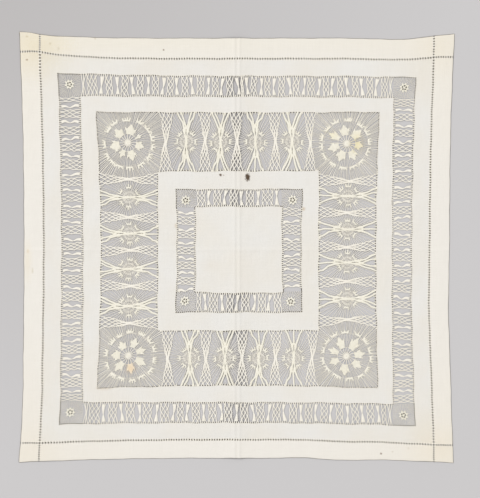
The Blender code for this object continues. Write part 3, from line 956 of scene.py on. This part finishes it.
# Wheels in the corners of the wide band: u and v of the hub, true shift of the prongs' ring,
# then the angle, half width in degrees and tip in mm of the petals, and the prongs' angles
wheels = (
    (-154.1, 152.7, (1, -2.3), (
        (27, 7, 23), (75, 28, 26.5), (132, 25, 25.5), (193, 28, 26.5), (241, 17, 23.5), (287, 25, 26.5),
        (344, 22, 24.5),
    ), (17, 37, 61, 92, 121, 142, 179, 208, 227, 247, 273, 303, 330, 354)),
    (151, 150.8, (-1.7, -1.3), (
        (46, 24, 28), (100, 25, 27), (149, 19, 28.5), (198, 24, 28), (249, 25, 28), (300, 22, 27),
        (352, 21, 23.5),
    ), (7, 33, 54, 83, 114, 137, 163, 185, 211, 239, 266, 291, 313, 343)),
    (-152.7, -149.4, (2.7, -0.9), (
        (20, 18, 26), (68, 21, 26.5), (124, 21, 24.5), (177, 27, 24.5), (230, 21, 28), (280, 19, 26.5),
        (331, 23, 27.5),
    ), (17, 39, 65, 93, 119, 142, 171, 200, 228, 248, 274, 299, 323, 350)),
    (151.7, -150.4, (0.6, 1), (
        (11, 21, 27.5), (58, 23, 32), (114, 21, 30), (160, 18, 28), (207, 19, 26.5), (262, 24, 28),
        (323, 23, 26),
    ), (13, 38, 63, 95, 122, 145, 168, 194, 216, 244, 275, 302, 324, 352)),
)
wheel = {
    "web": 0.32,  # half the thickness of the needle thread
    "webPitch": 1.66,  # from one thread to the next at the edge of the corner
    "webFrom": (13, 31, 21, 31),  # where they start, in turn
    "prong": 33.2,  # distance from the hub
    "prongLength": 9,
    "prongThick": 1.3,
    "prongTall": 5.4,
    "spikes": (3, 3, 4),
    "hub": (0.5, 1.5),
    "ribs": ((1, 0, 0.7), (4.4, 2, 0.8), (7.6, 4, 0.6), (12.6, 0, 0.5)),  # distance, turn, thickness
    "spokes": 16,
    # a petal's outline: share of the way to its tip, share of its half width
    "petal": (
        (0, 0.56), (0.1, 0.72), (0.3, 0.78), (0.46, 1), (0.62, 0.98), (0.66, 0.62), (0.8, 0.52),
        (0.84, 0.34), (1, 0.2),
    ),
    "petalFoot": 12.4,
    "petalAt": 16,  # the distance at which its half width is given
    "petalHeight": 0.95,
    "row": 1.1,  # from one woven row of a petal to the next
    "point": (0.4, 0.68, 0.76, 1.04),  # a side point: from share and side, to share and side
    "tip": 0.96,
}


def squareWeb(middle, inner, outer, look, inside):
    # needle threads from a wheel or flower out to the four edges of its square
    start, pitch, thick = look["webFrom"], look["webPitch"], look["web"]
    lowU, highU = (inner, outer) if middle[0] > 0 else (-outer, -inner)
    lowV, highV = (inner, outer) if middle[1] > 0 else (-outer, -inner)
    count = round((outer - inner) / pitch) // 2 * 2 + 1
    strands = []
    for i in range(count):
        t = (2 * i + 1) / count - 1
        s = (outer - inner) / 2 * (1 + 0.5 * (t + math.tan(math.pi / 4 * t)))
        ends = ((lowU + s, lowV), (highU, lowV + s), (highU - s, highV), (lowU, highV - s))
        for k, (u, v) in enumerate(ends):
            turn = math.atan2(v - middle[1], u - middle[0]) + vary(-0.012, 0.012)
            near = start[(i + k) % len(start)] + vary(-0.4, 0.4)
            strands.append(webThread(middle, turn, near, threadReach(middle, turn, near, inside), thick))
    return strands


def wheelSquare(u, v):
    # the wheel's threads also fill the band up to the outline of the first lattices
    signU, signV = math.copysign(1, u), math.copysign(1, v)
    places = dict(trunkRuns)
    levelBand = places["top" if v > 0 else "bottom"]
    uprightBand = places["right" if u > 0 else "left"]
    endU = signU * levelBand[-1 if u > 0 else 0]
    endV = signV * uprightBand[-1 if v > 0 else 0]

    def inside(spotU, spotV):
        a, b = signU * spotU, signV * spotV
        if max(a, b) > wideOut or max(a, b) < wideIn:
            return False
        if a < wideIn:
            return b > wideIn and a > endU + latticeHalf(b - wideMiddle)
        if b < wideIn:
            return b > endV + latticeHalf(a - wideMiddle)
        return True

    return inside


def wheelWeb():
    strands = []
    outmost = wheel["ribs"][-1][0]
    for u, v, shift, _, _ in wheels:
        middle = (u, v)
        strands += squareWeb(middle, wideIn, wideOut, wheel, wheelSquare(u, v))
        strands.append(ringStrand((u + shift[0], v + shift[1]), wheel["prong"] - 0.8, 0.24, steps=48))
        strands.append(ringStrand(middle, outmost, 0.36, steps=36))
        for i in range(wheel["spokes"]):  # ribs round the hub
            turn = 360 * i / wheel["spokes"]
            strands.append([(*around(middle, r, turn + t), 0.9, w) for r, t, w in wheel["ribs"]])
    return strandPiece("wheelWeb", strands, drawnThread)


def petalRows(middle, angle, halfTurn, tip):
    # a petal is woven in rows across it, stepped in towards its tip
    shares = [s for s, _ in wheel["petal"]]
    widths = [w for _, w in wheel["petal"]]
    foot = wheel["petalFoot"]
    tip *= wheel["tip"]
    full = math.radians(halfTurn) * wheel["petalAt"]
    tall = wheel["petalHeight"]
    count = round((tip - foot) / wheel["row"])
    rows = []
    for i in range(count + 1):
        share = i / count
        distance = foot + (tip - foot) * share
        half = math.degrees(full * float(np.interp(share, shares, widths)) / distance)
        lift = 0.12 * (-1) ** i
        left = half * vary(0.93, 1.07)
        right = half * vary(0.93, 1.07)
        rows.append([
            (*around(middle, distance + bow, angle + turn), tall + lift, thick) for turn, bow, thick in (
                (-left, -0.3, 0.42), (-left * 0.6, 0, 0.6), (0, 0.2, 0.64), (right * 0.6, 0, 0.6),
                (right, -0.3, 0.42),
            )
        ])
    share, side, farShare, farSide = wheel["point"]
    for way in (-1, 1):
        near, far = foot + (tip - foot) * share, foot + (tip - foot) * farShare
        turns = [math.degrees(full * s / r) for s, r in ((side, near), (farSide, far))]
        rows.append([
            (*around(middle, r, angle + way * t), tall, thick) for r, t, thick in (
                (near, turns[0], 1.2), ((near + far) / 2, sum(turns) / 2, 1.1), (far, turns[1], 0.5),
            )
        ])
    return rows


def wheelPetals():
    strands = []
    for u, v, _, petals, _ in wheels:
        middle = (u, v)
        for angle, halfTurn, tip in petals:
            strands += petalRows(middle, angle, halfTurn, tip)
        strands += [ringStrand(middle, r, 0.8, wheel["petalHeight"], 12) for r in wheel["hub"]]
    return strandPiece("wheelPetals", strands, needleThread, 1)


def wheelProngs():
    strands = []
    for u, v, shift, _, prongs in wheels:
        middle = (u + shift[0], v + shift[1])
        for angle in prongs:
            distance = wheel["prong"] + vary(-0.8, 0.8)
            length = wheel["prongLength"] * vary(0.85, 1.15)
            tall = wheel["prongTall"] * vary(0.8, 1.1)
            spikes = chance.choice(wheel["spikes"])
            strands += prongStrands(middle, distance, angle, length, spikes, wheel["prongThick"], tall)
    return strandPiece("wheelProngs", strands, needleThread, 1)


flower = {
    "ring": 4.5,  # distance from its middle
    "ringThick": 0.9,
    "lobes": 8,  # outside the ring
    "arms": 5,  # inside it
    "rings": ((0.5, 0.75, 0.95), (2.2, 0.42, 0), (3, 0.42, 0)),  # distance, thickness, height
    "web": 0.34,
    "webFrom": (6.5, 10.5),
    "webPitch": 3,
    "lobeReach": 6.9,
}
# Where the small flowers lie: u, v, turn in degrees
flowers = (
    (-232.3, 233.6, 12), (232.3, 232, 30), (-233.9, -232.2, 48), (232.1, -233.1, 20),
    (-74.5, 70.8, 40), (74.5, 71.5, 15), (-74.8, -73, 55), (72, -73.6, 33),
)


def cornerSquare(inner, outer):
    return lambda u, v: inner < abs(u) < outer and inner < abs(v) < outer


def cornerFlowers():
    worked, web = [], []
    for u, v, tilt in flowers:
        middle = (u, v)
        inner, outer = (innerIn, innerOut) if abs(u) < wideIn else (outerIn, outerOut)
        web += squareWeb(middle, inner, outer, flower, cornerSquare(inner, outer))
        worked.append(ringStrand(middle, flower["ring"], flower["ringThick"], 0.85))
        for i in range(flower["lobes"]):
            turn = tilt + 360 * i / flower["lobes"]
            spots = ((flower["ring"], 1.2), (flower["ring"] + 1.5, 1.3), (flower["lobeReach"], 0.8))
            worked.append([(*around(middle, r, turn), 0.85, t) for r, t in spots])
        for i in range(flower["arms"]):
            turn = tilt + 20 + 360 * i / flower["arms"]
            spots = ((0, 0.9), (2.6, 0.58), (4.6, 0.8))
            worked.append([(*around(middle, r, turn), 0.85, t) for r, t in spots])
        worked += [ringStrand(middle, r, thick, h) for r, thick, h in flower["rings"]]
    return [
        strandPiece("flowerWeb", web, drawnThread),
        strandPiece("cornerFlowers", worked, needleThread, 1),
    ]


clothPiece = linenCloth()
worked = [
    hemStitching(),
    narrowBand("outerBand", outerIn, outerOut),
    narrowBand("innerBand", innerIn, innerOut),
]
worked += wideBand()
worked += [wheelWeb(), wheelProngs(), wheelPetals()]
worked += cornerFlowers()
print("cloth and thread made:", len(worked) + 1, "pieces")

studio = {
    "floor": (0.575, 0.563, 0.568),
    # painted shade on the floor: its colour at the top left corner, and the spot where it is darkest
    "shadedCorner": (0.465, 0.45, 0.45),
    "shadeAt": (-0.42, 0.44, 0),
    "floorHalf": 3,
    "air": (1, 0.995, 0.985, 1),
    "ambient": 0.66,
    "key": (-4.6, 4.2, 6.2, 4, 368),  # x, y, z, size in m, power in W
    "fill": (3, -2.2, 3.4, 3, 37),
    "lens": 100,
    "away": 1.9625,  # from the lens to the cloth, m
    "aim": (0.0046, -0.0023),
}


def floorMaterial():
    n = Nodes("floorPaper")
    corner = n.vector("LENGTH", n.vector("SUBTRACT", n.object, studio["shadeAt"]))
    grain = n.noise((300, 300, 1), 3)
    # painted shade: the floor darkens towards its top left corner
    colour = n.mix(n.spread(corner, 0.05, 0.75), studio["shadedCorner"], studio["floor"])
    colour = n.mix(n.spread(grain, 0.3, 0.7, 0, 0.3), colour, (0.985, 0.985, 0.985), "MULTIPLY")
    return n.finish(colour, 0.95)


def softLight(name, x, y, z, size, power):
    light = bpy.data.lights.new(name, "AREA")
    light.size = size
    light.energy = power
    lamp = added(name, light)
    lamp.location = (x, y, z)
    lamp.rotation_euler = (-lamp.location).to_track_quat("-Z", "Y").to_euler()


def studioRoom():
    bm = bmesh.new()
    bmesh.ops.create_grid(bm, x_segments=1, y_segments=1, size=studio["floorHalf"])
    mesh = bpy.data.meshes.new("floorPaper")
    bm.to_mesh(mesh)
    bm.free()
    mesh.materials.append(floorMaterial())
    floor = added("floorPaper", mesh)
    softLight("key", *studio["key"])
    softLight("fill", *studio["fill"])
    scene = bpy.context.scene
    world = bpy.data.worlds.new("softRoom")
    world.use_nodes = True
    air = world.node_tree.nodes["Background"].inputs
    air["Color"].default_value = studio["air"]
    air["Strength"].default_value = studio["ambient"]
    scene.world = world
    scene.view_settings.view_transform = "Standard"
    lens = bpy.data.cameras.new("overhead")
    lens.lens = studio["lens"]
    lens.sensor_width = 36
    camera = added("overhead", lens)
    camera.location = (*studio["aim"], studio["away"])
    scene.camera = camera
    print("room, light and camera set")


studioRoom()
